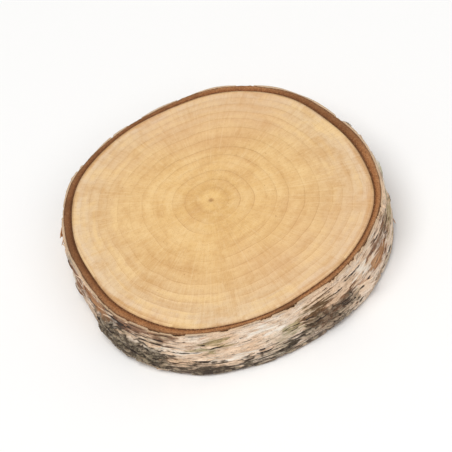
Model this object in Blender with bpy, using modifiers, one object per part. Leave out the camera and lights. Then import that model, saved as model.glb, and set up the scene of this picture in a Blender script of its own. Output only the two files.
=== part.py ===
# A birch wood slice: a disc sawn straight across a young trunk, with its bark still grown on.
# It lies on one sawn face. Lengths are in metres and angles in degrees, and +Z is up.
# The origin is under the middle of the slice. Angle 0 is +X, and -90 is the near side.

import math
import random

import bmesh
import bpy
from mathutils import Vector

# Driving dimensions
THICKNESS = 0.0100
MEAN_RADIUS = 0.0259
BARK_SECTION = 0.0016
WOOD_RADIUS = MEAN_RADIUS - BARK_SECTION

# Waves round the rim, each (crests, height, angle of one crest)
OUTLINE_WAVES = (
    (2, 0.00022, -76),
    (3, 0.00018, -6),
    (4, 0.00050, -28),
    (5, 0.00014, 4),
    (11, 0.00007, 15),
)
BARK_SECTION_WAVES = ((2, 0.00025, 20), (5, 0.00012, -60))

# The dark line between wood and bark is a small groove, because the soft inner bark shrinks
GROOVE_WIDTH = 0.0004
GROOVE_DEPTH = 0.0003

# The sawn end of the bark lies a little under the wood, and its outer corner is worn
BARK_DROP = 0.00006
CORNER_WIDTH = 0.0004
CORNER_DROP = 0.00035
CORNER_WEAR = 0.00024
CORNER_WEAR_CRESTS = 17

# Mesh density
COLUMNS = 192
SIDE_ROWS = 16

# Relief of the bark, standing out from the side
SEED = 7
LENTICEL_COUNT = 46
LENTICEL_HALF_LENGTH = (0.0009, 0.0027)
LENTICEL_HALF_HEIGHT = 0.00034
LENTICEL_RISE = 0.00032
RELIEF_FADE = 0.0009

# Slow swells of the bark, each (crests round the rim, lean in degrees per metre up, phase, rise)
SWELLS = (
    (7, 25000, 0, 0.000085),
    (13, -41000, 50, 0.000055),
)

# Rough places of thick cracked bark, each (angle, half width in degrees, middle height, half
# height, rise, width of one plate in degrees)
ROUGH_PLACES = (
    (-142, 20, 0.0034, 0.0038, 0.00065, 7.5),
    (-62, 15, 0.0034, 0.0030, 0.00050, 6.0),
    (18, 13, 0.0066, 0.0036, 0.00055, 6.8),
    (128, 17, 0.0036, 0.0042, 0.00055, 7.2),
)
ROUGH_SOLID_SHARE = 0.6
FURROW_LEAN = 5.0
FURROW_BEND = 2.2
FURROW_SHARE = 0.16
FURROW_FLOOR = 0.25
CRACK_SPACING = 0.0019

# Places where the outer papery layer has come off, each (angle, half width in degrees, middle
# height, half height)
PEELED_PLACES = (
    (-157, 11, 0.0074, 0.0017),
    (-33, 8, 0.0040, 0.0020),
    (62, 18, 0.0050, 0.0031),
    (165, 9, 0.0062, 0.0018),
)
PEELED_DEPTH = 0.00034
PEELED_EDGE_SHARE = 0.15

# Ragged edge of a peeled place, each (waves across its half height, across its half width, height)
RAGGED_WAVES = ((11, 0, 0.14), (0, 9, 0.08))

# Loose ends of papery bark, each (angle of the root, length in degrees, middle height, width, lift)
PAPER_THICKNESS = 0.00062
PAPER_ROOT_SINK = 0.00070
PAPER_ENDS = (
    (-56, 14, 0.0030, 0.0032, 0.00085),
    (82, -17, 0.0051, 0.0042, 0.00100),
    (150, 15, 0.0058, 0.0030, 0.00085),
)
PAPER_CELLS = (9, 4)
PAPER_NARROWING = 0.30
PAPER_TEAR = 0.22
PAPER_TEAR_WAVES = 4.6
PAPER_CURL = 1.6

WOOD_COLOUR = (0.78, 0.51, 0.24, 1.0)
WOOD_ROUGHNESS = 0.62
SHARP_ANGLE = 35


def wave_sum(waves, angle):
    total = 0.0
    for crests, height, crest_angle in waves:
        total += height * math.cos(math.radians(crests * (angle - crest_angle)))
    return total


def outer_radius(angle):
    return MEAN_RADIUS + wave_sum(OUTLINE_WAVES, angle)


def bark_section(angle):
    return BARK_SECTION + wave_sum(BARK_SECTION_WAVES, angle)


def smooth_step(low, high, value):
    share = min(1.0, max(0.0, (value - low) / (high - low)))
    return share * share * (3 - 2 * share)


def angle_between(first, second):
    return (first - second + 180) % 360 - 180


# Breathing pores of birch bark, long round the trunk and short along it
def place_lenticels():
    draw = random.Random(SEED)
    row_height = THICKNESS / SIDE_ROWS
    pores = []
    for number in range(LENTICEL_COUNT):
        angle = -180 + 360 * (number + draw.uniform(0.1, 0.9)) / LENTICEL_COUNT
        height = row_height * draw.randint(2, SIDE_ROWS - 2)
        half_length = draw.uniform(*LENTICEL_HALF_LENGTH)
        half_angle = math.degrees(half_length / MEAN_RADIUS)
        pores.append((angle, height, half_angle))
    return pores


def lenticel_rise(pores, angle, height):
    rise = 0.0
    for pore_angle, pore_height, half_angle in pores:
        along = angle_between(angle, pore_angle) / half_angle
        across = (height - pore_height) / LENTICEL_HALF_HEIGHT
        rise = max(rise, LENTICEL_RISE * math.exp(-(along**4) - across**2))
    return rise


# How far a point lies from the nearest of many evenly spaced lines, as a share of their spacing
def from_nearest_line(place, spacing):
    return abs((place / spacing + 0.5) % 1 - 0.5)


# Thick cracked bark stands out as plates, parted by leaning furrows and by cracks round the trunk
def rough_rise(angle, height):
    rise = 0.0
    for centre, half_width, middle, half_height, top, plate_width in ROUGH_PLACES:
        along = angle_between(angle, centre)
        across = height - middle
        reach = math.hypot(along / half_width, across / half_height)
        inside = 1 - smooth_step(ROUGH_SOLID_SHARE, 1.0, reach)
        leaning = along + FURROW_LEAN * math.sin(across / half_height * FURROW_BEND)
        furrow = smooth_step(0, FURROW_SHARE, from_nearest_line(leaning, plate_width))
        step_up = CRACK_SPACING / 2 * round(leaning / plate_width)
        crack = smooth_step(0, FURROW_SHARE, from_nearest_line(across + step_up, CRACK_SPACING))
        plate = FURROW_FLOOR + (1 - FURROW_FLOOR) * min(furrow, crack)
        rise = max(rise, top * inside * plate)
    return rise


def peeled_drop(angle, height):
    drop = 0.0
    for centre, half_width, middle, half_height in PEELED_PLACES:
        along = angle_between(angle, centre) / half_width
        across = (height - middle) / half_height
        reach = (abs(along) ** 3 + abs(across) ** 3) ** (1 / 3)
        for up_waves, round_waves, ragged in RAGGED_WAVES:
            reach += ragged * math.sin(up_waves * across + round_waves * along + centre)
        drop = max(drop, PEELED_DEPTH * (1 - smooth_step(1 - PEELED_EDGE_SHARE, 1.0, reach)))
    return drop


def swell(angle, height):
    total = 0.0
    for crests, lean, phase, rise in SWELLS:
        total += rise * math.sin(math.radians(crests * angle + lean * height + phase))
    return total


def side_relief(pores, angle, height):
    from_face = min(height, THICKNESS - height)
    fine = max(lenticel_rise(pores, angle, height), rough_rise(angle, height))
    relief = swell(angle, height) + fine - peeled_drop(angle, height)
    return relief * smooth_step(0, RELIEF_FADE, from_face)


# Half of the section, as (distance out, height), from the middle of the top face to the side
def upper_profile():
    return [
        (0.0, THICKNESS),
        (WOOD_RADIUS, THICKNESS),
        (WOOD_RADIUS + GROOVE_WIDTH / 2, THICKNESS - GROOVE_DEPTH),
        (WOOD_RADIUS + GROOVE_WIDTH, THICKNESS - BARK_DROP),
        (MEAN_RADIUS - CORNER_WIDTH, THICKNESS - BARK_DROP),
        (MEAN_RADIUS, THICKNESS - CORNER_DROP),
    ]


def full_profile():
    upper = upper_profile()
    lower = [(out, THICKNESS - height) for out, height in reversed(upper)]
    side_height = THICKNESS - 2 * CORNER_DROP
    rows = []
    for row in range(1, SIDE_ROWS):
        height = THICKNESS - CORNER_DROP - side_height * row / SIDE_ROWS
        rows.append((MEAN_RADIUS, height))
    return upper + rows + lower


def turned_disc(helpers):
    points = full_profile()
    outline = bpy.data.meshes.new("slice_profile")
    edges = [(index, index + 1) for index in range(len(points) - 1)]
    outline.from_pydata([(out, 0.0, height) for out, height in points], edges, [])
    disc = bpy.data.objects.new("turned_disc", outline)
    helpers.objects.link(disc)
    screw = disc.modifiers.new("turn", "SCREW")
    screw.axis = "Z"
    screw.angle = math.radians(360)
    screw.steps = COLUMNS
    screw.render_steps = COLUMNS
    screw.use_merge_vertices = True
    screw.merge_threshold = 1e-6
    return disc


# A point of the turned disc goes out to the grown outline, in step with the wood or the bark
def grown_distance(out, angle):
    rim = outer_radius(angle)
    wood_rim = rim - bark_section(angle)
    if out <= WOOD_RADIUS:
        return out * wood_rim / WOOD_RADIUS
    return wood_rim + (out - WOOD_RADIUS) / BARK_SECTION * (rim - wood_rim)


def corner_wear(angle):
    return CORNER_WEAR / 2 * (1 + math.sin(math.radians(CORNER_WEAR_CRESTS * angle)))


# Moves the turned disc's points out to the grown outline, raises the bark and wears its corners
def grow(mesh):
    pores = place_lenticels()
    worn_from = MEAN_RADIUS - 1.5 * CORNER_WIDTH
    worn_above = THICKNESS - 2 * CORNER_DROP
    for vertex in mesh.vertices:
        out = math.hypot(vertex.co.x, vertex.co.y)
        turn = math.atan2(vertex.co.y, vertex.co.x)
        angle = math.degrees(turn)
        height = vertex.co.z
        distance = grown_distance(out, angle)
        if math.isclose(out, MEAN_RADIUS, rel_tol=1e-4):
            distance += side_relief(pores, angle, height)
        if out > worn_from:
            near_top = smooth_step(worn_above, THICKNESS, height)
            near_bottom = smooth_step(worn_above, THICKNESS, THICKNESS - height)
            height += (near_bottom - near_top) * corner_wear(angle)
        vertex.co = Vector((distance * math.cos(turn), distance * math.sin(turn), height))


# One loose end: its root is sunk in the side, and the rest curls outwards to a torn, narrower end
def paper_end(name, measures, helpers):
    root_angle, length, middle, width, lift = measures
    along_cells, across_cells = PAPER_CELLS
    mesh = bpy.data.meshes.new(name)
    shape = bmesh.new()
    bmesh.ops.create_grid(shape, x_segments=along_cells, y_segments=across_cells, size=0.5)
    for vertex in shape.verts:
        along = vertex.co.x + 0.5
        across = vertex.co.y
        torn = 1 - PAPER_TEAR * abs(math.sin(PAPER_TEAR_WAVES * across + root_angle))
        angle = root_angle + along * length * torn
        lifted = lift * along**PAPER_CURL - PAPER_ROOT_SINK * (1 - along)
        out = outer_radius(angle) + lifted
        turn = math.radians(angle)
        height = middle + across * width * (1 - PAPER_NARROWING * along**2)
        vertex.co = Vector((out * math.cos(turn), out * math.sin(turn), height))
    bmesh.ops.recalc_face_normals(shape, faces=shape.faces)
    shape.to_mesh(mesh)
    shape.free()
    end = bpy.data.objects.new(name, mesh)
    helpers.objects.link(end)
    solid = end.modifiers.new("paper", "SOLIDIFY")
    solid.thickness = PAPER_THICKNESS
    solid.offset = 0.0


def applied_mesh(source, name):
    graph = bpy.context.evaluated_depsgraph_get()
    mesh = bpy.data.meshes.new_from_object(source.evaluated_get(graph))
    mesh.name = name
    return mesh


def wood_material():
    material = bpy.data.materials.new("birch_wood")
    material.use_nodes = True
    shader = material.node_tree.nodes["Principled BSDF"]
    shader.inputs["Base Color"].default_value = WOOD_COLOUR
    shader.inputs["Roughness"].default_value = WOOD_ROUGHNESS
    shader.inputs["Metallic"].default_value = 0.0
    return material


def remove_with_mesh(helper):
    mesh = helper.data
    bpy.data.objects.remove(helper)
    bpy.data.meshes.remove(mesh)


def clear_scene():
    for old in list(bpy.data.objects):
        bpy.data.objects.remove(old)


def main():
    clear_scene()
    model = bpy.data.collections.new("birch_wood_slice")
    helpers = bpy.data.collections.new("helpers")
    for collection in (model, helpers):
        bpy.context.scene.collection.children.link(collection)
    helpers.hide_render = True

    disc = turned_disc(helpers)
    mesh = applied_mesh(disc, "birch_slice")
    remove_with_mesh(disc)
    grow(mesh)
    slice_body = bpy.data.objects.new("birch_slice", mesh)
    model.objects.link(slice_body)

    for number, measures in enumerate(PAPER_ENDS, 1):
        paper_end(f"paper_end_{number}", measures, helpers)
    union = slice_body.modifiers.new("grown_together", "BOOLEAN")
    union.operation = "UNION"
    union.operand_type = "COLLECTION"
    union.collection = helpers
    union.solver = "MANIFOLD"
    fused = applied_mesh(slice_body, "birch_slice_fused")
    slice_body.modifiers.clear()
    slice_body.data = fused
    bpy.data.meshes.remove(mesh)
    for helper in list(helpers.objects):
        remove_with_mesh(helper)
    bpy.data.collections.remove(helpers)

    fused.materials.clear()
    fused.materials.append(wood_material())
    fused.shade_smooth()
    fused.set_sharp_from_angle(angle=math.radians(SHARP_ANGLE))


main()
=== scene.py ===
import math
import random

import bpy
import numpy as np
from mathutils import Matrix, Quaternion, Vector, noise


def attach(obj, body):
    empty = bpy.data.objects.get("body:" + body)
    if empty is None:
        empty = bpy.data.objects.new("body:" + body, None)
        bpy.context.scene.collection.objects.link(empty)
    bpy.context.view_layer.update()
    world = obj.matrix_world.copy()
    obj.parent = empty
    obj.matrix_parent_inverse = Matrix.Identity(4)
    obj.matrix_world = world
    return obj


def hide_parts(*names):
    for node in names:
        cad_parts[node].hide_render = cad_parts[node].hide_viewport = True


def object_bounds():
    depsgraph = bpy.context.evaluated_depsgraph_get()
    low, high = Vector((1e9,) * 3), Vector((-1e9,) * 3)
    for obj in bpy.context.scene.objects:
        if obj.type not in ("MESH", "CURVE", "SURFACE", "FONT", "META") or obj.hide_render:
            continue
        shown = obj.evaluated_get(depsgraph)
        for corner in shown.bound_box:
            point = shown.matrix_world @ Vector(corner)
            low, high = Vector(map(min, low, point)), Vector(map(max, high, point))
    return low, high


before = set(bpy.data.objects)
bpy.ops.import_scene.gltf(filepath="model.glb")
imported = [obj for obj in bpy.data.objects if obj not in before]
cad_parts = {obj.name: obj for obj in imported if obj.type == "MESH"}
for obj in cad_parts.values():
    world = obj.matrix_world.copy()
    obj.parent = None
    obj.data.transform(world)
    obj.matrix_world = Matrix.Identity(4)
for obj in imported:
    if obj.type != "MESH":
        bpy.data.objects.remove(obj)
cadLow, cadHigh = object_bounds()

mm = 0.001
thick = round((cadHigh[2] - cadLow[2]) / mm, 3)  # as thick as the slice was sawn

# The grown shape, by the same rules as the solid that these pieces stand for.
# Here and below, sizes are in millimetres and angles in degrees.
trunk = {
    "meanRadius": 25.9,
    "outlineWaves": [(2, 0.22, -76), (3, 0.18, -6), (4, 0.5, -28), (5, 0.14, 4), (11, 0.07, 15)],
    "barkSection": 1.6,
    "sectionWaves": [(2, 0.25, 20), (5, 0.12, -60)],
    "barkDrop": 0.06,  # how far the bark ends below the sawn faces
    "cornerDrop": 0.35,
    "cornerWear": 0.24,
    "cornerWearCrests": 17,
    "paperSection": 0.42,  # how much of the bark is the white outer layer
    "paperWander": 0.18,  # how much of that comes and goes round the trunk
    "paperNoise": (9.4, 0.3, 2),  # shift, scale, octaves
}
octaveFade, octaveStep = 0.9, 2.1  # how much weaker and finer each octave of a noise is


# From 0 at the low value to 1 at the high one, softly
def ease(low, high, value):
    share = np.clip((value - low) / (high - low), 0.0, 1.0)
    return share * share * (3 - 2 * share)


def angleBetween(first, second):
    return (first - second + 180) % 360 - 180


def fromNearestLine(place, spacing):
    return np.abs((place / spacing + 0.5) % 1 - 0.5)


def anglesRound(columns):
    return -180 + 360 * np.arange(columns) / columns


def waveSum(waves, angle):
    total = np.zeros_like(angle)
    for crests, height, crestAngle in waves:
        total += height * np.cos(np.radians(crests * (angle - crestAngle)))
    return total


def outerRadius(angle):
    return trunk["meanRadius"] + waveSum(trunk["outlineWaves"], angle)


def woodRadius(angle):
    return outerRadius(angle) - trunk["barkSection"] - waveSum(trunk["sectionWaves"], angle)


def cornerWear(angle):
    crests = np.sin(np.radians(trunk["cornerWearCrests"] * angle))
    return trunk["cornerWear"] / 2 * (1 + crests)


def onTrunk(angle, out, height):
    turn = np.radians(angle)
    return np.stack([out * np.cos(turn), out * np.sin(turn), height + 0 * out], axis=-1)


# Noise over points in space, with one scale across the trunk and another along it, per millimetre
def noiseOver(points, shift, acrossScale, alongScale, octaves):
    scaled = points * np.array([acrossScale, acrossScale, alongScale]) + shift
    spots = scaled.reshape(-1, 3)
    values = [noise.fractal(Vector(spot), octaveFade, octaveStep, octaves) for spot in spots]
    return np.array(values).reshape(points.shape[:-1])


def noiseRound(angle, shift, scale, octaves):
    return noiseOver(onTrunk(angle, outerRadius(angle), 0.0), shift, scale, scale, octaves)


def paperInner(angle):
    wander = trunk["paperWander"] * noiseRound(angle, *trunk["paperNoise"])
    return outerRadius(angle) - trunk["paperSection"] * (1 + wander)


# A mesh with its fields, which are values at its points that the materials read
def meshFrom(name, places, faces, fields):
    mesh = bpy.data.meshes.new(name)
    mesh.from_pydata((places * mm).tolist(), [], faces)
    mesh.shade_smooth()
    for field, values in fields.items():
        layer = mesh.attributes.new(field, "FLOAT", "POINT")
        layer.data.foreach_set("value", np.asarray(values, dtype=np.float32))
    return mesh


# A mesh from a grid of points, rows first. Each row closes on itself round the trunk, and the last row
# joins the first, unless there are poles, to which those two rows close.
def meshFromRows(name, points, fields, poles=()):
    rows, columns = points.shape[:2]
    row = np.arange(rows - 1 if poles else rows)[:, None]
    spot, after = np.arange(columns), np.roll(np.arange(columns), -1)
    here, below = row * columns, (row + 1) % rows * columns
    faces = np.stack([here + spot, here + after, below + after, below + spot], axis=-1)
    faces = faces.reshape(-1, 4).tolist()
    if poles:
        pole, lastRow = rows * columns, (rows - 1) * columns
        for left, right in zip(spot.tolist(), after.tolist()):
            faces += [[pole, right, left], [pole + 1, lastRow + left, lastRow + right]]
    places = np.concatenate([points.reshape(-1, 3), np.reshape(poles, (-1, 3))])
    for field, values in fields.items():
        fields[field] = np.append(np.broadcast_to(values, (rows, columns)), [0] * len(poles))
    return meshFrom(name, places, faces, fields)


# One grid from the rows of the upper and of the under face
def joinFaces(upper, under):
    return np.concatenate([under, upper[::-1]])


def addObject(name, data):
    added = bpy.data.objects.new(name, data)
    bpy.context.scene.collection.objects.link(added)
    return added


def pieceFrom(material, mesh):
    mesh.materials.append(material)
    return addObject(mesh.name, mesh)


# Breathing pores: low corky swellings, each round a slit with pointed ends
barkPores = {
    "seed": 7,
    "count": 46,
    "spread": (0.1, 0.9),  # where in its own share of the round a pore may lie
    "levels": 16,
    "freeLevels": 2,  # levels without a pore at each face
    "halfLength": (0.9, 2.7),
    "halfHeight": 0.34,
    "rise": 0.3,
    "smallSeed": 23,
    "smallCount": 190,
    "smallFromFace": 0.7,
    "smallSizes": [(0.25, 1.2), (0.1, 0.19), (0.05, 0.12)],  # half length, half height, rise
    "reach": 1.6,  # in half lengths
    "pointed": (0.0, 0.3),
    "slitDepth": 0.26,
    "lipRise": 0.09,
    # as shares of a pore's half height
    "slitDeepest": 0.6,
    "slitWidth": 0.36,
    "slitWidthAtEnds": 0.02,
    "lipAt": 0.55,
    "lipAtEnds": 0.05,
    "lipSpread": 0.28,
    "darkHeight": 0.75,
    # where the slit and the dark cork end, as shares of their widths
    "slitEdge": (0.5, 1.3),
    "darkEdge": (0.55, 1.05),
}


def placePores():
    look = barkPores
    draw = random.Random(look["seed"])
    levels, count = look["levels"], look["count"]
    pores = []
    for number in range(count):
        angle = -180 + 360 * (number + draw.uniform(*look["spread"])) / count
        height = thick / levels * draw.randint(look["freeLevels"], levels - look["freeLevels"])
        halfLength = draw.uniform(*look["halfLength"])
        pores.append((angle, height, halfLength, look["halfHeight"], look["rise"]))
    draw = random.Random(look["smallSeed"])
    for number in range(look["smallCount"]):
        angle = draw.uniform(-180, 180)
        height = draw.uniform(look["smallFromFace"], thick - look["smallFromFace"])
        pores.append((angle, height, *(draw.uniform(*limits) for limits in look["smallSizes"])))
    return pores


def poreFields(angle, height):
    look = barkPores
    rise, dark, slit = np.zeros((3, *angle.shape))
    for poreAngle, poreHeight, halfLength, halfHeight, top in placePores():
        along = angleBetween(angle, poreAngle) / math.degrees(halfLength / trunk["meanRadius"])
        near = np.abs(along) < look["reach"]
        along = along[near]
        across = (height[near] - poreHeight) / halfHeight
        taper = np.sqrt(np.clip(1 - along**2, 0, 1))
        pointed = ease(*look["pointed"], taper)
        slitWidth = look["slitWidth"] * taper + look["slitWidthAtEnds"]
        cut = (1 - ease(*look["slitEdge"], np.abs(across) / slitWidth)) * pointed
        fromLip = np.abs(across) - look["lipAt"] * taper - look["lipAtEnds"]
        lip = np.exp(-((fromLip / look["lipSpread"]) ** 2)) * pointed
        lipRise = look["lipRise"] * lip * halfHeight / look["halfHeight"]
        swelling = top * np.exp(-(along**4) - across**2) + lipRise
        depth = min(look["slitDepth"], halfHeight * look["slitDeepest"])
        rise[near] = np.maximum(rise[near], swelling) - depth * cut * (1 - slit[near])
        slit[near] = np.maximum(slit[near], cut)
        cork = 1 - ease(*look["darkEdge"], np.hypot(along, across / look["darkHeight"]))
        dark[near] = np.maximum(dark[near], cork)
    return rise, dark, slit


# Rough places, cracked into plates that are cracked into smaller ones
roughBark = {
    # angle, half width in degrees, middle height, half height, rise, plate width in degrees, darkness
    "places": [
        (-142, 20, 3.4, 3.8, 0.65, 7.5, 0.8),
        (-62, 15, 3.4, 3.0, 0.5, 6.0, 0.62),
        (18, 13, 6.6, 3.6, 0.55, 6.8, 0.8),
        (128, 17, 3.6, 4.2, 0.55, 7.2, 0.9),
    ],
    "bendRound": 2.4,
    "bendUp": 0.45,
    "wander": 0.34,
    "ragged": 0.16,
    "edge": (0.62, 0.98),
    "lean": 5.0,
    "leanWaves": 2.2,
    "plateHeight": 1.9,
    # plates round and up in each large plate, and the widths of their cracks as shares of one
    "cracks": (1.0, 1.0, 0.16, 0.16),
    "smallCracks": (2.6, 2.3, 0.22, 0.25),
    "smallBend": 3.0,
    "smallDepth": 0.26,
    "footRise": 0.22,  # the part of the rise that the cracks don't reach
}


def platesAt(along, across, width, height, roundCount, upCount, roundCrack, upCrack):
    furrow = ease(0, roundCrack, fromNearestLine(along, width / roundCount))
    return np.minimum(furrow, ease(0, upCrack, fromNearestLine(across, height / upCount)))


def roughFields(angle, height, wild):
    look = roughBark
    rise, inside, toned, crackDarkAndShade = np.zeros((4, *angle.shape))
    spacing = look["plateHeight"]
    for centre, halfWidth, middle, halfHeight, top, plateWidth, darkness in look["places"]:
        along = angleBetween(angle, centre) + look["bendRound"] * wild["bendRound"]
        across = height - middle + look["bendUp"] * wild["bendUp"]
        reach = np.hypot(along / halfWidth, across / halfHeight)
        reach = reach + look["wander"] * wild["wander"] + look["ragged"] * wild["fine"]
        here = 1 - ease(*look["edge"], reach)
        leaning = along + look["lean"] * np.sin(across / halfHeight * look["leanWaves"])
        stepUp = spacing / 2 * np.round(leaning / plateWidth)
        bent = leaning + look["smallBend"] * wild["bendUp"]
        large = platesAt(leaning, across + stepUp, plateWidth, spacing, *look["cracks"])
        small = platesAt(bent, across + stepUp / 2, plateWidth, spacing, *look["smallCracks"])
        plate = large * (1 - look["smallDepth"] * (1 - small))
        rise = np.maximum(rise, top * here * (look["footRise"] + (1 - look["footRise"]) * plate))
        inside = np.maximum(inside, here)
        toned = np.maximum(toned, darkness * here)
        # the cracks between plates are darker bark, with painted shade laid in them as well
        crackDarkAndShade = np.maximum(crackDarkAndShade, darkness * here * (1 - plate))
    return rise, inside, toned, crackDarkAndShade


# Places where the paper has come off
peeledBark = {
    # angle, half width in degrees, middle height, half height
    "places": [(-157, 11, 7.4, 1.7), (-33, 8, 4.0, 2.0), (62, 18, 5.0, 3.1), (165, 9, 6.2, 1.8)],
    "squareness": 3,
    "raggedWaves": [(11, 0, 0.14), (0, 9, 0.08)],  # how tight up and round, height
    "ragged": 0.18,
    "edge": (0.89, 0.94),
    "depth": 0.34,
    "lipStart": (0.9, 0.96),
    "lipEnd": (1.16, 0.98),
    "lipRise": 0.14,
    "lipWhere": (-0.2, 0.5),  # the lip stands up only along parts of the edge
}


def peeledFields(angle, height, wild):
    look = peeledBark
    power = look["squareness"]
    inside, lip = np.zeros((2, *angle.shape))
    for centre, halfWidth, middle, halfHeight in look["places"]:
        along = angleBetween(angle, centre) / halfWidth
        across = (height - middle) / halfHeight
        reach = (np.abs(along) ** power + np.abs(across) ** power) ** (1 / power)
        for tightUp, tightRound, ragged in look["raggedWaves"]:
            reach = reach + ragged * np.sin(tightUp * across + tightRound * along + centre)
        reach = reach + look["ragged"] * wild["fine"]
        inside = np.maximum(inside, 1 - ease(*look["edge"], reach))
        lip = np.maximum(lip, ease(*look["lipStart"], reach) * ease(*look["lipEnd"], reach))
    return inside, lip, look["lipRise"] * lip * ease(*look["lipWhere"], wild["bendUp"])


# The paper lies in thin layers that end at uneven edges, each with a tone of its own
paperLayers = {
    "levels": 3.2,
    "toneTurn": 2.7,
    "toneStart": 1.0,
    "step": (0.9, 1.0),
    "edgeStart": (0.82, 0.91),
    "edgeEnd": (1.0, 0.94),
    "rise": 0.075,
    "wrinkleRise": 0.04,
}


def layerFields(wild):
    look = paperLayers
    sheet = look["levels"] * wild["layers"]
    level = np.floor(sheet)
    part = sheet - level
    tone = 0.5 + 0.5 * np.sin(level * look["toneTurn"] + look["toneStart"])
    # the edge where a layer steps up is painted darker, as painted shade
    edge = ease(*look["edgeStart"], part) * ease(*look["edgeEnd"], part)
    rise = look["rise"] * (level + ease(*look["step"], part)) + look["wrinkleRise"] * wild["wrinkle"]
    return rise, tone, edge


# Old stains on the bark, and clean pale spots
barkStains = {
    # angle, half width in degrees, middle height, half height, strength
    "brown": [
        (-172, 14, 6.0, 4.6, 0.9), (-141, 25, 8.3, 2.6, 1.0), (-119, 4, 3.6, 1.3, 0.5),
        (-64, 13, 5.0, 3.8, 0.75), (-31, 9, 5.6, 4.2, 0.95), (38, 9, 3.2, 3.0, 0.65),
        (150, 10, 8.0, 2.2, 0.65),
    ],
    "green": [
        (-134, 8, 3.0, 1.5, 0.85), (-106, 7, 6.8, 2.1, 0.75), (-78, 7, 5.4, 2.0, 0.85),
        (-66, 12, 6.6, 2.4, 0.6), (-16, 16, 5.0, 5.6, 0.75), (97, 14, 6.4, 3.4, 0.48),
    ],
    "dark": [
        (-146, 6, 6.2, 3.4, 1.15), (-131, 6, 6.0, 3.6, 1.2), (-143, 22, 3.2, 3.4, 0.95),
        (-114, 15, 1.2, 2.0, 1.0), (-95, 14, 1.1, 1.9, 0.95), (-82, 8, 2.3, 2.1, 0.85),
        (-56, 4, 2.8, 2.9, 0.7), (18, 12, 6.4, 3.4, 0.75), (128, 17, 3.6, 4.0, 0.8),
    ],
    "pale": [
        (-122, 5, 6.6, 2.4, 0.65), (-97, 8, 3.6, 1.5, 0.55), (-88, 5, 7.7, 1.6, 0.85),
        (-45, 6, 6.4, 3.0, 0.6), (-2, 9, 7.4, 2.4, 0.6), (47, 10, 7.0, 3.0, 0.6),
        (110, 9, 3.0, 2.6, 0.6), (176, 9, 3.2, 2.4, 0.6),
    ],
    "bendRound": 4.0,
    "wrinkleRound": 11.0,
    "bendUp": 0.9,
    "wander": 0.45,
    "edge": (1.5, 0.0),
    "darkestSide": -105,  # the side darkens most towards its lower edge here
    "darkeningReach": (62, 30),  # how far round it thins out, and how far it stays thick
    "darkeningLeast": 0.35,
}


def stainFields(angle, height, wild):
    look = barkStains
    found = {}
    bendRound = look["bendRound"] * wild["bendRound"] + look["wrinkleRound"] * wild["wrinkle"]
    for kind in ("brown", "green", "dark", "pale"):
        found[kind] = np.zeros_like(angle)
        for centre, halfWidth, middle, halfHeight, strength in look[kind]:
            along = angleBetween(angle, centre) + bendRound
            across = height - middle + look["bendUp"] * wild["bendUp"]
            reach = np.hypot(along / halfWidth, across / halfHeight) + look["wander"] * wild["wander"]
            found[kind] = np.maximum(found[kind], strength * ease(*look["edge"], reach))
    # the side also gets darker towards its lower edge, most of all round the darkest side
    fromDarkest = np.abs(angleBetween(angle, look["darkestSide"]))
    found["lowDirt"] = look["darkeningLeast"] + (1 - look["darkeningLeast"]) * ease(*look["darkeningReach"], fromDarkest)
    return found


# How all of that comes together on the side of the slice
barkRelief = {
    # shift, scale across the trunk, scale along it, octaves
    "noises": {
        "bendRound": (3.1, 0.45, 0.8, 3),
        "bendUp": (17.7, 0.4, 0.9, 3),
        "wander": (90.4, 0.22, 0.35, 3),
        "fine": (41.3, 0.9, 3.0, 4),
        "wrinkle": (77.9, 0.12, 2.2, 3),
        "threads": (27.3, 0.35, 5.5, 2),
        "layers": (55.0, 0.1, 0.85, 4),
    },
    "swells": [(7, 25.0, 0, 0.085), (13, -41.0, 50, 0.055)],  # crests, lean to a millimetre, phase, rise
    "poreBend": 0.14,
    "slitsOpen": 0.3,  # slits stay open where the bark is less rough than this
    "layersLeft": 0.3,  # how much of the layers is left in rough and peeled places
    "threadRise": 0.022,
    "fineRise": 0.025,
    "fineRiseRough": 0.1,
    "fade": 0.9,  # the relief dies away towards the sawn faces over this height
}


def barkFields(angle, height):
    look = barkRelief
    base = onTrunk(angle, outerRadius(angle), height)
    wild = {name: noiseOver(base, *sizes) for name, sizes in look["noises"].items()}
    pores, poreDark, slit = poreFields(angle, height + look["poreBend"] * wild["bendUp"])
    rough, roughInside, roughToned, crackDarkAndShade = roughFields(angle, height, wild)
    peeled, lip, raisedLip = peeledFields(angle, height, wild)
    layers, layerTone, layerEdge = layerFields(wild)
    smooth = (1 - roughInside) * (1 - peeled)
    relief = np.zeros_like(angle)
    for crests, lean, phase, rise in look["swells"]:
        relief += rise * np.sin(np.radians(crests * angle + lean * height + phase))
    openSlit = (pores < 0) & (roughInside < look["slitsOpen"])
    relief += np.where(openSlit, pores, np.maximum(pores, rough))
    relief -= peeledBark["depth"] * peeled
    relief += raisedLip
    relief += layers * (look["layersLeft"] + (1 - look["layersLeft"]) * smooth)
    relief += look["threadRise"] * wild["threads"]
    relief += wild["fine"] * (look["fineRise"] + look["fineRiseRough"] * roughInside)
    relief *= ease(0, look["fade"], np.minimum(height, thick - height))
    fields = stainFields(angle, height, wild)
    fields.update(pore=poreDark, slit=slit, rough=roughToned, crack=crackDarkAndShade, peel=peeled, lip=lip)
    fields.update(layer=layerTone, layerEdge=layerEdge * smooth)
    return relief, fields


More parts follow.
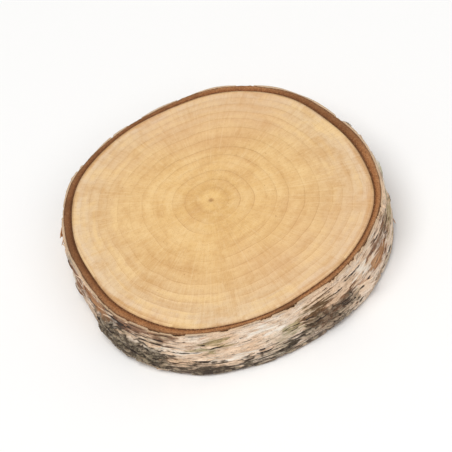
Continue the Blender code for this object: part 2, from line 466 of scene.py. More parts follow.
# Chips are missing from the edges of the white layer, where the saw tore it
barkEdge = {
    "columns": 960,
    "sideRows": 71,  # level rows between the two edge bands
    "bandRows": 9,  # rows that follow the chipped edge, in a band at each face
    "bandHeight": 1.35,
    "chipDepth": 0.42,
    "chipNoise": (0.3, 4),  # scale, octaves
    "chipAbove": (0.16, 0.23),
    "chipVaries": (0.65, 0.5),
    "chipShifts": (5.0, 61.0),  # for the upper and the lower edge
    "nibbleDepth": 0.05,
    "nibbleNoise": (1.6, 3),
    "nibbleShift": 7.0,
    "nibbleShare": 0.12,
    # shares of the section and of the drop to the corner, from the inside out
    "cap": [(0.0, 0.16), (0.22, 0.0), (0.55, 0.05), (0.84, 0.3)],
    "reliefFrom": 0.5,  # the relief starts at this share of the section
    "wallDeep": 0.9,  # how far in the hidden inner wall lies
    "wallGap": 0.25,  # how far from the chipped edge it starts
    "wallSlope": (0.35, 1.0),  # how far from the face it starts and ends leaning inwards
}


def chipDepth(angle, shift):
    look = barkEdge
    torn = noiseRound(angle, shift, *look["chipNoise"])
    nibbled = noiseRound(angle, shift + look["nibbleShift"], *look["nibbleNoise"])
    chip = ease(*look["chipAbove"], torn + look["nibbleShare"] * nibbled)
    least, varies = look["chipVaries"]
    return look["chipDepth"] * chip * (least + varies * nibbled) + look["nibbleDepth"] * np.abs(nibbled)


def makeOuterBark():
    look = barkEdge
    angle = anglesRound(look["columns"])
    rim, inner = outerRadius(angle), paperInner(angle)
    deep, section = rim - look["wallDeep"], rim - inner
    edgeDrop = trunk["barkDrop"] + cornerWear(angle)
    topShift, bottomShift = look["chipShifts"]
    topAt = thick - edgeDrop - chipDepth(angle, topShift)
    bottomAt = edgeDrop + chipDepth(angle, bottomShift)
    drop = trunk["cornerDrop"] - trunk["barkDrop"]
    startLean, endLean = look["wallSlope"]
    rows = [(deep, endLean), (inner, np.maximum(bottomAt + look["wallGap"], startLean))]
    rows += [(inner + share * section, bottomAt + fall * drop) for share, fall in look["cap"]]
    band, bandRows = look["bandHeight"], look["bandRows"]
    levels = [bottomAt + drop, band, thick - band, topAt - drop]
    for start, end, count in zip(levels, levels[1:], (bandRows, look["sideRows"], bandRows)):
        rows += [(rim, start + (end - start) * row / count) for row in range(count)]
    rows.append((rim, levels[-1]))
    rows += [(inner + share * section, topAt - fall * drop) for share, fall in reversed(look["cap"])]
    rows += [(inner, np.minimum(topAt - look["wallGap"], thick - startLean)), (deep, thick - endLean)]
    outs, heights = (np.array([part + 0 * angle for part in parts]) for parts in zip(*rows))
    angles = np.broadcast_to(angle, outs.shape)
    relief, fields = barkFields(angles, heights)
    share = (outs - inner) / section
    onSide = ease(look["reliefFrom"], 1.0, share)
    fields.update(section=onSide, lamina=np.clip(share, 0, 1))
    return meshFromRows("outerBark", onTrunk(angles, outs + relief * onSide, heights), fields)


# The brown inner bark, with the groove between it and the wood
innerBarkLook = {
    "columns": 900,
    "sectionRows": 13,
    "gaps": (0.015, 0.02),  # to the wood and to the white layer
    "sunk": 0.06,
    "grooveAt": 0.147,
    "grooveReach": 0.1764,
    "grooveDepth": 0.3,
    "grain": 0.06,
    "grainNoise": (12.0, 2.2, 1.0, 3),
    "grainHeights": (0.0, 30.0),  # where in the noise the upper and the lower face lie
    "wallRows": [(0.3, 0.0), (0.5, 0.0), (1.1, 0.45)],  # how far below the face, how far inwards
    "shadedSides": [(150, 85), (34, 34)],  # middle and half width of the darker stretches
    "shadeFull": 0.4,  # the share of a half width that is fully dark
}


def makeInnerBark():
    look = innerBarkLook
    angle = anglesRound(look["columns"])
    start, end = woodRadius(angle) + look["gaps"][0], paperInner(angle) - look["gaps"][1]
    share = np.linspace(0, 1, look["sectionRows"])[:, None]
    outs = start + share * (end - start)
    groove = look["grooveDepth"] * np.exp(-(((outs - start - look["grooveAt"]) / look["grooveReach"]) ** 2))
    faces = []
    for noiseHeight, upper in zip(look["grainHeights"], (True, False)):
        grain = noiseOver(onTrunk(angle, outs, noiseHeight), *look["grainNoise"])
        rows = list(zip(outs, trunk["barkDrop"] + groove + look["sunk"] + look["grain"] * grain))
        rows += [(end - inwards, below + 0 * end) for below, inwards in look["wallRows"]]
        outRows, drops = (np.array(parts) for parts in zip(*rows))
        across = np.clip((outRows - start) / (end - start), 0, 1)
        faces.append((onTrunk(angle, outRows, thick - drops if upper else drops), across))
    points, across = (joinFaces(*pair) for pair in zip(*faces))
    shades = [
        ease(halfWidth, halfWidth * look["shadeFull"], np.abs(angleBetween(angle, centre)))
        for centre, halfWidth in look["shadedSides"]
    ]
    return meshFromRows("innerBark", points, {"across": across, "shade": np.max(shades, axis=0)})


# The sawn wood, turned about its pith so that every ring follows the outline of the trunk
woodLook = {
    "pith": (-1.1, 2.0),
    "ringSeed": 4,
    "ringCount": 13,
    "ringVaries": (0.75, 1.25),
    "ringTaper": (1.25, 0.5),  # how wide rings are at the pith, and how much less at the bark
    "pithShare": 0.03,
    "lastRing": 0.988,
    "columns": 480,
    # on the upper and the under face: shares of a ring where rows of points lie
    "ringSteps": ((0.0, 0.25, 0.5, 0.72, 0.86, 0.95), (0.0, 0.5, 0.86)),
    "lastPhases": (0.99, 0.995),
    "sunk": 0.03,
    # how much deeper still, and from where to where: in each ring, and then in the whole radius
    "lateDrop": (-0.022, 0.5, 0.95),
    "pithDrop": (0.12, 0.026, 0.006),
    "edgeDrop": (0.1, 0.985, 1.0),
    "wander": 0.012,
    "wanderNoise": (0.25, 1.0, 2),
    "wanderShifts": (33.0, 88.0),
}


def ringEdges():
    draw = random.Random(woodLook["ringSeed"])
    count, start = woodLook["ringCount"], woodLook["pithShare"]
    widest, taper = woodLook["ringTaper"]
    widths = [draw.uniform(*woodLook["ringVaries"]) for _ in range(count)]
    widths = widths * (widest - taper * np.arange(count) / count)
    places = np.concatenate([[0.0], np.cumsum(widths)])
    return start + (woodLook["lastRing"] - start) * places / places[-1]


def woodRows(steps):
    edges = ringEdges()
    shares, phases = [woodLook["pithShare"] / 2], [0.0]
    for number in range(woodLook["ringCount"]):
        for step in steps:
            shares.append(edges[number] + step * (edges[number + 1] - edges[number]))
            phases.append(number + 1 + step)
    shares += [edges[-1], 1.0]
    phases += [woodLook["ringCount"] + phase for phase in woodLook["lastPhases"]]
    return np.array(shares), np.array(phases)


def makeWood():
    look = woodLook
    angle = anglesRound(look["columns"])
    rim = onTrunk(angle, woodRadius(angle), 0.0)
    pith = np.array([*look["pith"], 0.0])
    faces = []
    for steps, shift, upper in zip(look["ringSteps"], look["wanderShifts"], (True, False)):
        shares, phases = woodRows(steps)
        points = pith * (1 - shares[:, None, None]) + rim * shares[:, None, None]
        drop = look["sunk"]
        for name, place in (("lateDrop", phases % 1), ("pithDrop", shares), ("edgeDrop", shares)):
            depth, *limits = look[name]
            drop = drop + depth * ease(*limits, place)
        drop = drop[:, None] + look["wander"] * noiseOver(points, shift, *look["wanderNoise"])
        drop = np.maximum(drop, 0.0)
        points[..., 2] = thick - drop if upper else drop
        faces.append((points, phases, shares))
    points, phases, shares = (joinFaces(*pair) for pair in zip(*faces))
    poleDrop = look["pithDrop"][0] + look["sunk"]
    poles = [pith + [0, 0, poleDrop], pith + [0, 0, thick - poleDrop]]
    turn = np.radians(angle)
    fields = {"ring": phases[:, None], "outward": shares[:, None]}
    fields.update(aroundX=np.cos(turn), aroundY=np.sin(turn))
    return meshFromRows("sawnWood", points, fields, poles)


# Thin leaves of papery bark: how a leaf tears, curls and ripples
tornPaper = {
    "tear": 0.28,
    "tearWaves": 4.6,
    "tipTear": 0.14,
    "sideTear": 0.1,
    "curl": 1.6,
    "ripple": 0.045,
    "foldRise": 0.05,
    "foldWaves": (9.0, 5.0),  # across the leaf and along it
    "noise": (1.1, 1.0, 3),  # scale on a leaf, scale from leaf to leaf, octaves
    "noiseShifts": (0.5, 5.5, 8.5),  # of the ripples, the tip and the sides
}

# Loose ends of the paper, each in a few leaves that lie one under another
paperEnds = {
    # angle of the root, length in degrees, middle height, width, lift of the tip
    "ends": [(-56, 14, 3.0, 3.2, 0.85), (82, -17, 5.1, 4.2, 1.0), (150, 15, 5.8, 3.0, 0.85)],
    "leaves": 3,
    "shorter": 0.16,  # from each leaf to the one under it
    "higher": 0.12,
    "narrower": 0.06,
    "deeper": 0.16,
    "tipOut": 0.22,
    "tipStep": 0.27,
    "noiseStep": 3.7,
    "rootSink": 0.5,
    "narrowing": 0.3,
    "thickness": 0.11,
    "cells": (34, 22),
}

# Small splinters of paper along torn edges
barkShreds = {
    "seed": 31,
    "tries": 100,  # those that would cross one made before are left out
    "strayEvery": 7,  # one of so many lies near a face and not at a torn edge
    "strayHeight": 0.9,
    "strayVaries": 0.2,
    "atEdge": (0.85, 1.1),
    "upEdge": 0.85,
    "fromFace": 0.8,
    "length": (1.2, 3.6),
    "width": (0.25, 0.75),
    "lift": (0.2, 0.5),
    "clearAngle": 8,
    "clearHeight": 0.8,
    "noiseStep": 1.9,
    "rootSink": 0.2,
    "narrowing": 0.85,
    "thickness": 0.05,
    "cells": (13, 7),
}


# A leaf is two faces, half its thickness out and in, and a rim between them
def leafShell(angles, outs, heights, thickness):
    outer = onTrunk(angles, outs + thickness / 2, heights)
    inner = onTrunk(angles, outs - thickness / 2, heights)
    numbers = np.arange(outs.size).reshape(outs.shape)
    corners = [numbers[:-1, :-1], numbers[1:, :-1], numbers[1:, 1:], numbers[:-1, 1:]]
    quads = np.stack(corners, axis=-1).reshape(-1, 4)
    edge = np.concatenate([numbers[0, :-1], numbers[:-1, -1], numbers[-1, :0:-1], numbers[:0:-1, 0]])
    after = np.roll(edge, -1)
    rim = np.stack([edge, after, after + outs.size, edge + outs.size], axis=-1)
    faces = np.concatenate([quads, quads[:, ::-1] + outs.size, rim])
    if angles[-1, 0] < angles[0, 0]:  # so that the faces point out whichever way the leaf runs
        faces = faces[:, ::-1]
    return np.concatenate([outer.reshape(-1, 3), inner.reshape(-1, 3)]), faces


def oneLeaf(kind, rootAngle, length, middle, width, lift, noiseShift, share=1.0, deeper=0.0, tipOut=0.0):
    look = tornPaper
    rows, columns = kind["cells"]
    along, across = np.meshgrid(np.linspace(0, 1, rows), np.linspace(-0.5, 0.5, columns), indexing="ij")
    still, arc = np.zeros_like(along), abs(math.radians(length)) * trunk["meanRadius"]
    wide, long = across * width, along * arc
    rippled, tipNoise, sideNoise = (
        noiseOver(np.stack([first, second, still + noiseShift], axis=-1), shift, *look["noise"])
        for first, second, shift in zip((wide, wide, still), (long, still, long), look["noiseShifts"])
    )
    tear = look["tear"] * np.abs(np.sin(look["tearWaves"] * across + rootAngle)) + look["tipTear"] * tipNoise
    # how far out along the whole end, so that its leaves never cross
    reach = along * share * (1 - (1 - kind["narrowing"]) * tear)
    angles = rootAngle + reach * length
    acrossWaves, alongWaves = look["foldWaves"]
    fold = look["foldRise"] * np.sin(acrossWaves * across + alongWaves * reach)
    lifted = lift * reach ** look["curl"] - (kind["rootSink"] + deeper) * (1 - reach) + tipOut * reach
    outs = outerRadius(angles) + lifted + (look["ripple"] * rippled + fold) * reach
    heights = middle + wide * (1 - kind["narrowing"] * along**2) * (1 + look["sideTear"] * sideNoise)
    return leafShell(angles, outs, heights, kind["thickness"])


def joinLeaves(name, leaves):
    places, faces = (np.array(parts) for parts in zip(*leaves))
    count, size = places.shape[:2]
    faces = (faces + size * np.arange(count)[:, None, None]).reshape(-1, 4).tolist()
    inside = np.tile(np.repeat([0, 1], size // 2), count)
    return meshFrom(name, places.reshape(-1, 3), faces, {"inside": inside})


def makePaperEnds():
    look = paperEnds
    meshes = []
    for number, (rootAngle, length, middle, width, lift) in enumerate(look["ends"], 1):
        leaves = []
        for leaf in range(look["leaves"]):
            sizes = middle + look["higher"] * leaf, width * (1 - look["narrower"] * leaf), lift
            noiseShift, share = look["noiseStep"] * leaf + number, 1 - look["shorter"] * leaf
            deeper, tipOut = look["deeper"] * leaf, look["tipOut"] - look["tipStep"] * leaf
            leaves.append(oneLeaf(look, rootAngle, length, *sizes, noiseShift, share, deeper, tipOut))
        meshes.append(joinLeaves(f"paperEnd{number}", leaves))
    return meshes


def makeShreds():
    look = barkShreds
    draw = random.Random(look["seed"])
    leaves, taken = [], []
    edges = [place[:4] for place in peeledBark["places"] + roughBark["places"]]
    for number in range(look["tries"]):
        side = draw.choice([-1, 1])
        if number % look["strayEvery"] == look["strayEvery"] - 1:
            rootAngle = draw.uniform(-180, 180)
            height = draw.choice([look["strayHeight"], thick - look["strayHeight"]])
            height += draw.uniform(-look["strayVaries"], look["strayVaries"])
        else:
            centre, halfWidth, middle, halfHeight = edges[number % len(edges)]
            rootAngle = centre + side * halfWidth * draw.uniform(*look["atEdge"])
            height = middle + halfHeight * draw.uniform(-look["upEdge"], look["upEdge"])
            height = min(thick - look["fromFace"], max(look["fromFace"], height))
        length = -side * math.degrees(draw.uniform(*look["length"]) / trunk["meanRadius"])
        width, lift = draw.uniform(*look["width"]), draw.uniform(*look["lift"])
        spot = rootAngle + length / 2
        clear = [
            abs(angleBetween(spot, other)) > look["clearAngle"] or abs(height - level) > look["clearHeight"]
            for other, level in taken
        ]
        if all(clear):
            taken.append((spot, height))
            leaves.append(oneLeaf(look, rootAngle, length, height, width, lift, look["noiseStep"] * number))
    return joinLeaves("barkShreds", leaves)


# Materials, made of nodes. Whole colours are given as codes of six digits.
def addNode(tree, kind, inputs=None, **settings):
    made = tree.nodes.new("ShaderNode" + kind)
    for key, value in settings.items():
        setattr(made, key, value)
    for key, value in (inputs or {}).items():
        if isinstance(value, bpy.types.NodeSocket):
            tree.links.new(value, made.inputs[key])
        else:
            made.inputs[key].default_value = colourOf(value) if isinstance(value, str) else value
    return made


def colourOf(code):
    shares = [int(code[spot : spot + 2], 16) / 255 for spot in (0, 2, 4)]
    linear = [share / 12.92 if share <= 0.04045 else ((share + 0.055) / 1.055) ** 2.4 for share in shares]
    return (*linear, 1.0)


def placeOf(tree):
    return addNode(tree, "TexCoord").outputs["Object"]


def fieldOf(tree, name):
    return addNode(tree, "Attribute", attribute_name=name).outputs["Fac"]


def scaledNoise(tree, vector, scales, detail, roughness=0.55):
    mapped = addNode(tree, "Mapping", {"Vector": vector, "Scale": scales})
    settings = {"Vector": mapped.outputs[0], "Scale": 1.0, "Detail": detail, "Roughness": roughness}
    return addNode(tree, "TexNoise", settings).outputs["Fac"]


def makeGrains(tree, look):
    place = placeOf(tree)
    grains = {name: fieldOf(tree, name) for name in look["fields"]}
    for name, (across, along, *settings) in look["grains"].items():
        grains[name] = scaledNoise(tree, place, (across, across, along), *settings)
    return grains


def addShares(tree, grains, look):
    for name, (first, *limits) in look["shares"].items():
        if limits[0] in grains:
            grains[name] = times(tree, grains[first], grains[limits[0]])
        else:
            grains[name] = between(tree, grains[first], *limits)


def doMath(tree, operation, *values):
    return addNode(tree, "Math", dict(enumerate(values)), operation=operation).outputs[0]


def times(tree, first, second):
    return doMath(tree, "MULTIPLY", first, second)


def plusTimes(tree, base, grain, amount):
    return doMath(tree, "MULTIPLY_ADD", grain, amount, base)


# Moves a value both ways, by how far a noise is from its middle
def moved(tree, base, grain, amount):
    return plusTimes(tree, base, doMath(tree, "SUBTRACT", grain, 0.5), amount)


def between(tree, value, low, high, newLow=0.0, newHigh=1.0):
    inputs = {0: value, 1: low, 2: high, 3: newLow, 4: newHigh}
    return addNode(tree, "MapRange", inputs, interpolation_type="SMOOTHSTEP").outputs[0]


def blend(tree, share, first, second, mode="MIX"):
    inputs = {0: share, 6: first, 7: second}
    return addNode(tree, "Mix", inputs, data_type="RGBA", blend_type=mode, clamp_factor=True).outputs[2]


def ramp(tree, value, stops):
    made = addNode(tree, "ValToRGB", {"Fac": value})
    band = made.color_ramp
    for _ in stops[2:]:
        band.elements.new(0.5)
    for element, (place, code) in zip(band.elements, stops):
        element.position = place
        element.color = colourOf(code)
    return made.outputs[0]


def layMarks(tree, colour, look, grains, *names):
    for name in names or look["marks"]:
        for tone, share, *edge in look["marks"][name]:
            grain = grains[name]
            shown = between(tree, grain, *edge, 0.0, share) if edge else times(tree, grain, share)
            colour = blend(tree, shown, colour, look[tone])
    return colour


# A material whose colour is painted by the function given
def makeMaterial(name, look, paint):
    material = bpy.data.materials.new(name)
    material.use_nodes = True
    tree = material.node_tree
    tree.nodes.clear()
    grains = makeGrains(tree, look)
    inputs = {"Base Color": paint(tree, look, grains)}
    inputs.update({"Roughness": look["roughness"], "Specular IOR Level": look["gloss"]})
    for name, strength, height in look["bumps"]:
        bump = {"Height": grains[name], "Strength": strength, "Distance": height * mm}
        if "Normal" in inputs:
            bump["Normal"] = inputs["Normal"]
        inputs["Normal"] = addNode(tree, "Bump", bump).outputs[0]
    shader = addNode(tree, "BsdfPrincipled", inputs)
    addNode(tree, "OutputMaterial", {"Surface": shader.outputs[0]})
    return material


# How each material looks. Grains are noises, by their scale across the trunk and along it, per metre,
# their detail and their roughness. Shares are made of a grain or of a mesh field, by where it starts to
# count and where it counts in full, or of two shares together. Marks lay a tone where a grain shows, by
# how much of the tone there is and, unless the grain counts as it is, where it starts and is in full.
# Bumps have a strength and a height.
sawnWoodFinish = {
    "outwardTones": [
        (0.0, "8f6534"), (0.012, "b98a4e"), (0.024, "edc47f"), (0.06, "ebc17b"), (0.105, "d9ac68"),
        (0.15, "deb26f"), (0.24, "e6bc7b"), (0.35, "e8bf80"), (0.62, "e2ba81"), (0.8, "e1be8f"),
        (0.92, "e2c49c"), (0.97, "e4c9a8"), (1.0, "cda47a"),
    ],
    "lightArc": "f0cc92",
    "lateBand": "cb9a5c",
    "lateLine": "a3733f",
    "lightRay": "efd0a0",
    "blush": "deaf84",
    "pore": "9c7040",
    "fleck": "9a6636",
    "fields": ["ring", "outward", "aroundX", "aroundY"],
    "grains": {
        "broad": (85, 85, 2.0),
        "medium": (330, 330, 3.0),
        "clouds": (260, 260, 3.0, 0.6),
        "patches": (70, 70, 2.0),
        "grain": (1500, 1500, 4.0, 0.7),
        "pores": (6500, 6500, 1.0, 0.6),
        "tint": (42, 42, 3.0),
    },
    # these run round the pith, by the rings or by the radius: scale round and scale out come first
    "turnedGrains": {
        "arcs": ("ring", 1.8, 1.2, 3.0),
        "flecks": ("ring", 17, 4.2, 1.0),
        "broadRays": ("outward", 60, 3.0, 3.0, 0.6),
        "fineRays": ("outward", 190, 9.0, 2.0, 0.6),
    },
    "saw": ((2200, 40, 40), 2.0),
    "sawAngle": 32,
    "ringMoves": [("broad", 0.55), ("medium", 0.16)],
    "toneMoves": ["broad", "arcs"],
    "shares": {
        "broadMove": ("outward", 0.02, 0.3, 0.0, 0.12),
        "arcsMove": ("outward", 0.02, 0.25, 0.0, 0.12),
        "clearness": ("patches", 0.35, 0.65, 0.35, 1.0),
        "lateWood": ("ringShare", 0.4, 0.96),
        "lineStart": ("ringShare", 0.9, 0.975),
        "lineEnd": ("ringShare", 1.0, 0.985),
        "line": ("lineStart", "lineEnd"),
        "clearWood": ("lateWood", "clearness"),
        "clearLine": ("line", "clearness"),
    },
    "bands": ("clearWood", 0.14, 0.26),  # how strong in the faintest ring, and how much more they get
    "lines": ("clearLine", 0.16, 0.32),
    "marks": {
        "arcs": [("lightArc", 0.55, 0.5, 0.3), ("lateBand", 0.45, 0.52, 0.74)],
        "clouds": [("lightArc", 0.55, 0.5, 0.68), ("lateBand", 0.4, 0.5, 0.32)],
        "bands": [("lateBand", 1.0)],
        "lines": [("lateLine", 1.0)],
        "broadRays": [("lightRay", 0.3, 0.5, 0.7), ("lateBand", 0.22, 0.5, 0.28)],
        "fineRays": [("lightRay", 0.22, 0.52, 0.7), ("lateBand", 0.18, 0.48, 0.32)],
        "grain": [("pore", 0.14, 0.5, 0.68), ("lightRay", 0.18, 0.5, 0.34)],
        "pores": [("pore", 0.35, 0.62, 0.72)],
        "flecks": [("fleck", 0.5, 0.755, 0.81)],
        "tint": [("blush", 0.28, 0.42, 0.72)],
        "saw": [("lateBand", 0.14, 0.45, 0.25)],
    },
    "bumps": [("saw", 0.4, 0.06), ("grain", 0.35, 0.06), ("fineRays", 0.2, 0.04)],
    "roughness": 0.6,
    "gloss": 0.35,
}


def paintSawnWood(tree, look, grains):
    for name, amount in look["ringMoves"]:
        grains["ring"] = moved(tree, grains["ring"], grains[name], amount)
    for name, (out, roundScale, outScale, *settings) in look["turnedGrains"].items():
        inputs = {"X": grains["aroundX"], "Y": grains["aroundY"], "Z": grains[out]}
        vector = addNode(tree, "CombineXYZ", inputs).outputs[0]
        grains[name] = scaledNoise(tree, vector, (roundScale, roundScale, outScale), *settings)
    rotation = (0, 0, math.radians(look["sawAngle"]))
    turned = addNode(tree, "Mapping", {"Vector": placeOf(tree), "Rotation": rotation})
    grains["saw"] = scaledNoise(tree, turned.outputs[0], *look["saw"])
    grains["ringShare"] = doMath(tree, "FRACT", grains["ring"])
    addShares(tree, grains, look)
    ringNumber = doMath(tree, "FLOOR", grains["ring"])
    ringMood = addNode(tree, "TexWhiteNoise", {"W": ringNumber}, noise_dimensions="1D").outputs["Value"]
    for name in ("bands", "lines"):
        mark, least, more = look[name]
        grains[name] = times(tree, grains[mark], plusTimes(tree, least, ringMood, more))
    toneAt = grains["outward"]
    for name in look["toneMoves"]:
        toneAt = moved(tree, toneAt, grains[name], grains[name + "Move"])
    return layMarks(tree, ramp(tree, toneAt, look["outwardTones"]), look, grains)


innerBarkFinish = {
    "acrossTones": [
        (0.0, "6f4729"), (0.14, "5b3921"), (0.3, "905a33"), (0.55, "a46c41"), (0.8, "ac7950"),
        (1.0, "82593a"),
    ],
    "speck": "cda37a",
    "crumbLight": "c08b5c",
    "crumbDark": "5f3c24",
    "shade": "5c3a22",
    "fields": ["across", "shade"],
    "grains": {
        "grain": (1800, 1800, 3.0, 0.65),
        "crumbs": (4600, 4600, 4.0, 0.75),
        "specks": (5200, 5200, 2.0, 0.6),
        "broad": (110, 110, 2.0),
    },
    "marks": {
        "yearLines": [("crumbDark", 0.45, 0.14, 0.02)],
        "crumbs": [("crumbLight", 0.5, 0.5, 0.62), ("crumbDark", 0.6, 0.49, 0.38)],
        "specks": [("speck", 0.5, 0.62, 0.68)],
        "broad": [("shade", 0.5, 0.5, 0.68)],
        "shade": [("shade", 0.48)],
    },
    "acrossMove": 0.4,
    "yearLines": 6.0,
    "yearWander": 2.2,
    "bumps": [("grain", 0.6, 0.08), ("crumbs", 0.6, 0.08)],
    "roughness": 0.8,
    "gloss": 0.2,
}


def paintInnerBark(tree, look, grains):
    acrossAt = moved(tree, grains["across"], grains["grain"], look["acrossMove"])
    years = times(tree, grains["grain"], look["yearWander"])
    years = plusTimes(tree, years, grains["across"], look["yearLines"])
    grains["yearLines"] = doMath(tree, "PINGPONG", years, 0.5)
    return layMarks(tree, ramp(tree, acrossAt, look["acrossTones"]), look, grains)


# The white paper, as it is both on the trunk and on the loose ends
paperFinish = {
    "cream": "f0d2b3",
    "pale": "fae9d6",
    "streak": "c09a76",
    "dash": "6f5341",
    "underLayer": "ddb590",
    "peeledLight": "d8a97c",
    "peeledDark": "b67f54",
    "fields": [],
    "grains": {
        "broad": (120, 260, 3.0),
        "streaks": (170, 2300, 3.0, 0.6),
        "fibres": (420, 6500, 3.0, 0.6),
        "dashes": (330, 3400, 1.0),
        "flakes": (240, 1700, 5.0, 0.62),
        "hairlines": (80, 5600, 2.0),
        "powder": (5200, 7000, 3.0, 0.7),
    },
    "prickCells": (700, 700, 4300),
    "shares": {
        "paleness": ("broad", 0.4, 0.62),
        "peeledDarkness": ("streaks", 0.4, 0.62),
        "flaked": ("flakes", 0.53, 0.545),
        "rimStart": ("flakes", 0.522, 0.53),
        "rimEnd": ("flakes", 0.54, 0.531),
        "nearCell": ("fromCell", 0.26, 0.15),
        "chosenCell": ("cellTone", 0.6, 0.63),
        "flakeRims": ("rimStart", "rimEnd"),
        "pricks": ("nearCell", "chosenCell"),
    },
    "insideFrom": (0.3, 0.7),  # where the inner side of a loose leaf starts, in its thickness
    "marks": {
        "streaks": [("streak", 0.6, 0.53, 0.68)],
        "fibres": [("streak", 0.3, 0.55, 0.7)],
        "dashes": [("dash", 0.75, 0.68, 0.74)],
        "flaked": [("underLayer", 0.38)],
        # thin painted shade round the edges of the flakes
        "flakeRims": [("dash", 0.35)],
        "hairlines": [("dash", 0.45, 0.66, 0.71)],
        "pricks": [("dash", 0.75)],
        "powder": [("pale", 0.3, 0.5, 0.66), ("streak", 0.22, 0.5, 0.36)],
    },
    "bumps": [("fibres", 0.4, 0.05)],
    "roughness": 0.62,
    "gloss": 0.5,
}


def layPaper(tree, look, grains):
    mapped = addNode(tree, "Mapping", {"Vector": placeOf(tree), "Scale": look["prickCells"]}).outputs[0]
    cells = addNode(tree, "TexVoronoi", {"Vector": mapped, "Scale": 1.0, "Randomness": 1.0}).outputs
    grains["fromCell"], grains["cellTone"] = cells["Distance"], cells["Color"]
    addShares(tree, grains, look)
    colour = blend(tree, grains["paleness"], look["cream"], look["pale"])
    peeledTone = blend(tree, grains["peeledDarkness"], look["peeledLight"], look["peeledDark"])
    return layMarks(tree, colour, look, grains), peeledTone


def paintLoosePaper(tree, look, grains):
    inside = between(tree, fieldOf(tree, "inside"), *look["insideFrom"])
    return blend(tree, inside, *layPaper(tree, look, grains))


# The bark on the trunk: weather, stains, rough and peeled places, pores and a darker lower edge over the
# white paper
outerBarkFinish = {
    **paperFinish,
    "clean": "fdf3e4",
    "green": "9c9376",
    "brown": "7d5f50",
    "roughTop": "a2937c",
    "roughDeep": "55483a",
    # the tone of cracks and slits: dark bark, with painted shade in the cracks
    "crack": "2a2019",
    "pore": "4b3a2f",
    "edge": "41362d",
    "paleLeaf": "e6cba9",
    "brownLeaf": "a5805f",
    "greenStain": "c2c4aa",  # these three multiply what lies under them
    "brownStain": "a08674",
    "darkStain": "605b54",
    "fields": [
        "green", "brown", "dark", "pale", "pore", "slit", "rough", "crack", "peel", "lip", "lowDirt", "layer",
        "layerEdge", "section", "lamina",
    ],
    "grains": {
        "mottle": (420, 900, 4.0, 0.65),
        "algae": (150, 210, 4.0, 0.6),
        "blots": (210, 520, 4.0, 0.65),
        "grit": (900, 1500, 4.0, 0.7),
    },
    "combing": 2.2,  # how much the streaks count beside the fibres
    "combedMiddle": 1.6,
    "breaking": 1.6,
    "edgeWave": 0.0022,  # in metres, as the limits of low and high are
    "leaves": 6.0,
    "leafWander": 3.0,
    "stainWhere": (2.6, 3.1),
    "filmWhere": (0.0, 0.4),
    "stainOnRough": 0.6,
    "shares": {
        "paleFilm": ("pale", 0.0, 0.4),
        "combedPale": ("palePlus", 1.75, 2.3),
        "weathering": ("mottle", 0.3, 0.65, 0.35, 1.0),
        "roughHigh": ("grit", 0.42, 0.6),
        "roughKept": ("grit", 0.25, 0.55, 0.45, 1.0),
        "corky": ("pore", 0.25, 0.8),
        "corkKept": ("grit", 0.3, 0.5, 0.55, 0.95),
        "low": ("brushed", 0.0022, 0.0009, 0.0, 0.95),
        "lowKept": ("mottle", 0.62, 0.42, 0.45, 1.0),
        "soilHigh": ("grit", 0.46, 0.62),
        "leafEdge": ("leafLine", 0.1, 0.34),
        "cleaned": ("paleFilm", "combedPale"),
        "liftedLip": ("lip", "notPeeled"),
        "roughShare": ("rough", "roughKept"),
        "cork": ("corky", "corkKept"),
        "lowHere": ("low", "lowDirt"),
        "soiled": ("lowHere", "lowKept"),
    },
    "marks": {
        "layer": [("underLayer", 0.4)],
        # painted shade along the step at each layer's edge
        "layerEdge": [("dash", 0.55)],
        "algae": [("green", 0.45, 0.52, 0.68)],
        "blots": [("brown", 0.5, 0.6, 0.68)],
        "cleaned": [("clean", 0.85)],
        "liftedLip": [("pale", 0.5)],
        # the cracks of the rough places: dark bark and painted shade together
        "crack": [("crack", 0.92, 0.25, 0.85)],
        "cork": [("pore", 1.0)],
        "slit": [("crack", 0.8, 0.2, 0.8)],
        "high": [("edge", 0.45, 0.0093, 0.0099)],
    },
    "leafShare": 0.8,
    "bumps": [
        ("fibres", 0.35, 0.06), ("flaked", 0.5, 0.05), ("pricks", -0.5, 0.08), ("powder", 0.3, 0.05),
        ("grit", 0.5, 0.08),
    ],
    "gloss": 0.3,
}


def layStains(tree, colour, look, shares):
    for kind, share in shares.items():
        colour = blend(tree, share, colour, look[kind + "Stain"], "MULTIPLY")
    return colour


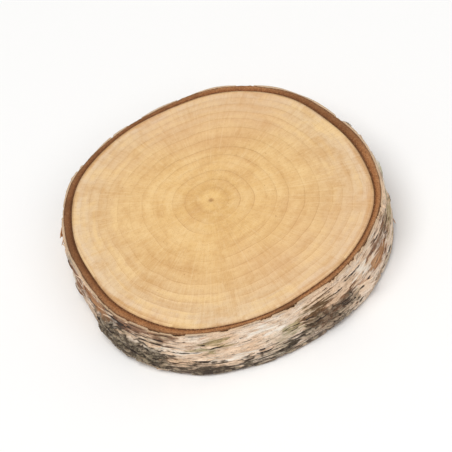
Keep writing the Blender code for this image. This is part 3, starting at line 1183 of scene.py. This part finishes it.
def paintOuterBark(tree, look, grains):
    paper = makeGrains(tree, paperFinish)
    colour, peeledTone = layPaper(tree, paperFinish, paper)
    grains.update(paper)
    combed = plusTimes(tree, grains["fibres"], grains["streaks"], look["combing"])
    broken = plusTimes(tree, combed, grains["mottle"], look["breaking"])
    grains["palePlus"] = doMath(tree, "ADD", grains["pale"], combed)
    grains["notPeeled"] = doMath(tree, "SUBTRACT", 1.0, grains["peel"])
    onFace = doMath(tree, "SUBTRACT", 1.0, grains["section"])
    height = addNode(tree, "SeparateXYZ", {0: placeOf(tree)}).outputs["Z"]
    wavy = moved(tree, height, grains["broad"], look["edgeWave"])
    offComb = doMath(tree, "SUBTRACT", combed, look["combedMiddle"])
    grains["high"], grains["brushed"] = wavy, plusTimes(tree, wavy, offComb, -look["edgeWave"])
    leafWander = times(tree, grains["broad"], look["leafWander"])
    leafNumber = plusTimes(tree, leafWander, grains["lamina"], look["leaves"])
    grains["leafLine"] = doMath(tree, "PINGPONG", leafNumber, 0.5)
    addShares(tree, grains, look)
    stains, onPeeled, onRough = {}, {}, {}
    for kind in ("green", "brown", "dark"):
        patchy = between(tree, doMath(tree, "ADD", grains[kind], broken), *look["stainWhere"])
        stains[kind] = times(tree, patchy, between(tree, grains[kind], *look["filmWhere"]))
        if kind != "dark":
            onPeeled[kind] = times(tree, grains[kind], grains["weathering"])
            onRough[kind] = times(tree, grains["rough"], times(tree, grains[kind], look["stainOnRough"]))
    colour = layMarks(tree, colour, look, grains, "layer", "layerEdge", "algae", "blots", "cleaned")
    colour = layStains(tree, colour, look, stains)
    colour = blend(tree, grains["peel"], colour, layStains(tree, peeledTone, look, onPeeled))
    colour = layMarks(tree, colour, look, grains, "liftedLip")
    roughTone = blend(tree, grains["roughHigh"], look["roughDeep"], look["roughTop"])
    colour = layStains(tree, blend(tree, grains["roughShare"], colour, roughTone), look, onRough)
    colour = layMarks(tree, colour, look, grains, "crack", "cork", "slit")
    # darker towards the lower edge of the side
    lowEdgeTone = blend(tree, grains["soilHigh"], look["edge"], look["roughTop"])
    colour = layMarks(tree, blend(tree, grains["soiled"], colour, lowEdgeTone), look, grains, "high")
    leafTone = blend(tree, grains["leafEdge"], look["brownLeaf"], look["paleLeaf"])
    return blend(tree, times(tree, onFace, look["leafShare"]), colour, leafTone)


# Floor, light and camera, in metres
studio = {
    "floorSize": 8.0,
    "floorBelow": 0.00005,
    "floorFinish": {
        "tone": (0.93, 0.93, 0.93, 1.0),
        "fields": [],
        "grains": {},
        "bumps": [],
        "roughness": 0.9,
        "gloss": 0.1,
    },
    "skyTone": (1.0, 1.0, 1.0, 1.0),
    "skyStrength": 0.42,
    "lights": [
        # name, place, size, watts, colour
        ("keyLight", (-0.28, -0.28, 1.15), 0.9, 9.0, (1.0, 0.985, 0.96)),
        ("fillLight", (0.4, -0.62, 0.85), 0.8, 2.8, (0.98, 0.99, 1.0)),
    ],
    "cameraAim": (0.0, 0.0006, 0.0046),
    "cameraElevation": 47.0,
    "cameraRoll": 17.0,
    "cameraDistance": 0.8,
    "cameraLens": 400.0,
    "cameraSees": (0.05, 20.0),
}


def paintFloor(tree, look, grains):
    return look["tone"]


def aim(thing, direction, roll=0.0):
    thing.rotation_mode = "QUATERNION"
    level = Vector(direction).to_track_quat("-Z", "Y")
    thing.rotation_quaternion = level @ Quaternion((0, 0, 1), math.radians(roll))


def makeStudio():
    bpy.ops.mesh.primitive_plane_add(size=studio["floorSize"], location=(0, 0, -studio["floorBelow"]))
    floor = bpy.context.object
    floor.name = "floor"
    floor.data.materials.append(makeMaterial("paleFloor", studio["floorFinish"], paintFloor))
    world = bpy.data.worlds.new("paleRoom")
    world.use_nodes = True
    sky = world.node_tree.nodes["Background"].inputs
    sky[0].default_value, sky[1].default_value = studio["skyTone"], studio["skyStrength"]
    bpy.context.scene.world = world
    for name, place, size, watts, colour in studio["lights"]:
        lamp = bpy.data.lights.new(name, "AREA")
        lamp.shape, lamp.size = "DISK", size
        lamp.energy, lamp.color = watts, colour
        holder = addObject(name, lamp)
        holder.location = place
        aim(holder, -Vector(place))


def makeCamera():
    camera = addObject("camera", bpy.data.cameras.new("camera"))
    camera.data.lens = studio["cameraLens"]
    camera.data.clip_start, camera.data.clip_end = studio["cameraSees"]
    rise = math.radians(studio["cameraElevation"])
    back = Vector((0, -math.cos(rise), math.sin(rise)))
    camera.location = Vector(studio["cameraAim"]) + back * studio["cameraDistance"]
    aim(camera, -back, -studio["cameraRoll"])
    bpy.context.scene.camera = camera


bpy.context.scene.view_settings.view_transform = "Standard"
makeCamera()
makeStudio()
print("studio ready")

wood = pieceFrom(makeMaterial("sawnBirch", sawnWoodFinish, paintSawnWood), makeWood())
print("wood sawn", len(wood.data.polygons))
innerBark = pieceFrom(makeMaterial("innerBark", innerBarkFinish, paintInnerBark), makeInnerBark())
print("inner bark laid", len(innerBark.data.polygons))
outerBark = pieceFrom(makeMaterial("birchBark", outerBarkFinish, paintOuterBark), makeOuterBark())
print("outer bark grown", len(outerBark.data.polygons))
paper = makeMaterial("birchPaper", paperFinish, paintLoosePaper)
papers = [pieceFrom(paper, mesh) for mesh in [*makePaperEnds(), makeShreds()]]
print("paper curled", [len(piece.data.polygons) for piece in papers])

for piece in [wood, innerBark, outerBark, *papers]:
    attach(piece, "root")
    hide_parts("birch_slice")
